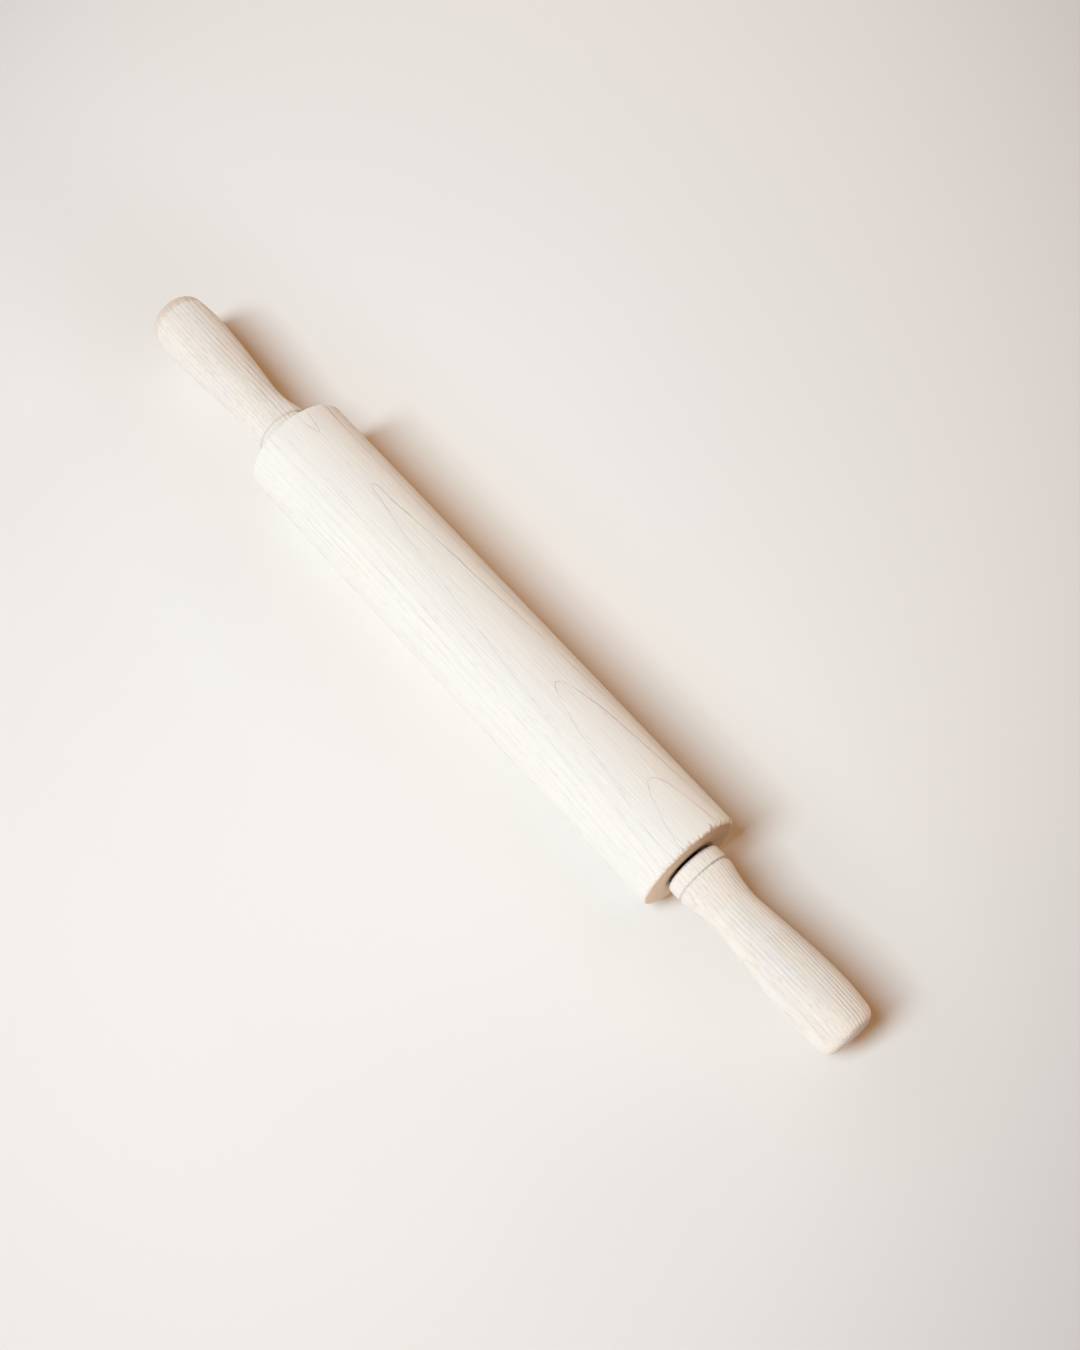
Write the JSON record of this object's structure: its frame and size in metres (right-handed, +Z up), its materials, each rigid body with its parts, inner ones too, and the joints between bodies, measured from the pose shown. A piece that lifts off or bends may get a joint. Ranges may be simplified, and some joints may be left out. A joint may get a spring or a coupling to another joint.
{
  "type": "rolling pin",
  "caption": "Turned wooden rolling pin: a straight barrel with rounded edges spins on ball bearings round a steel rod that carries a waisted wooden handle at each end.",
  "frame": {"origin": "on the worktop that the barrel lies on, straight under the middle of the barrel", "axes": "+X along the rod towards the right handle, +Z up from the worktop"},
  "size_m": [0.4604, 0.051, 0.0509],
  "materials": {
    "barrel_wood": "whitewashed, matt",
    "handle_wood": "whitewashed, matt",
    "rod_steel": "turned",
    "bearing_steel": "polished",
    "shield_steel": "rolled sheet",
    "insert_brass": "turned",
    "cage_nylon": "moulded"
  },
  "bodies": {
    "axle_and_handles": {"axle_rod": "rod_steel", "right_handle": "handle_wood", "left_handle": "handle_wood", "right_insert": "insert_brass", "left_insert": "insert_brass", "right_spacer": "rod_steel", "left_spacer": "rod_steel", "right_inner_race": "bearing_steel", "left_inner_race": "bearing_steel"},
    "barrel": {"barrel": "barrel_wood", "right_outer_race": "bearing_steel", "left_outer_race": "bearing_steel", "right_inner_shield": "shield_steel", "right_outer_shield": "shield_steel", "left_inner_shield": "shield_steel", "left_outer_shield": "shield_steel"},
    "right_balls": {"right_ball_cage": "cage_nylon", "right_ball_1": "bearing_steel", "right_ball_2": "bearing_steel", "right_ball_3": "bearing_steel", "right_ball_4": "bearing_steel", "right_ball_5": "bearing_steel", "right_ball_6": "bearing_steel", "right_ball_7": "bearing_steel"},
    "left_balls": {"left_ball_cage": "cage_nylon", "left_ball_1": "bearing_steel", "left_ball_2": "bearing_steel", "left_ball_3": "bearing_steel", "left_ball_4": "bearing_steel", "left_ball_5": "bearing_steel", "left_ball_6": "bearing_steel", "left_ball_7": "bearing_steel"}
  },
  "joints": [
    {"name": "barrel_spin", "type": "hinge", "parent": "axle_and_handles", "child": "barrel", "pos_m": [0, 0, 0.02546], "axis": [1, 0, 0], "continuous": true},
    {"name": "right_balls_orbit", "type": "hinge", "parent": "axle_and_handles", "child": "right_balls", "pos_m": [0.1275, 0, 0.02546], "axis": [1, 0, 0], "continuous": true},
    {"name": "left_balls_orbit", "type": "hinge", "parent": "axle_and_handles", "child": "left_balls", "pos_m": [-0.1275, 0, 0.02546], "axis": [1, 0, 0], "continuous": true}
  ],
  "couplings": [
    {"joint": "right_balls_orbit", "follows": "barrel_spin", "ratio": 0.63333},
    {"joint": "left_balls_orbit", "follows": "barrel_spin", "ratio": 0.63333}
  ]
}
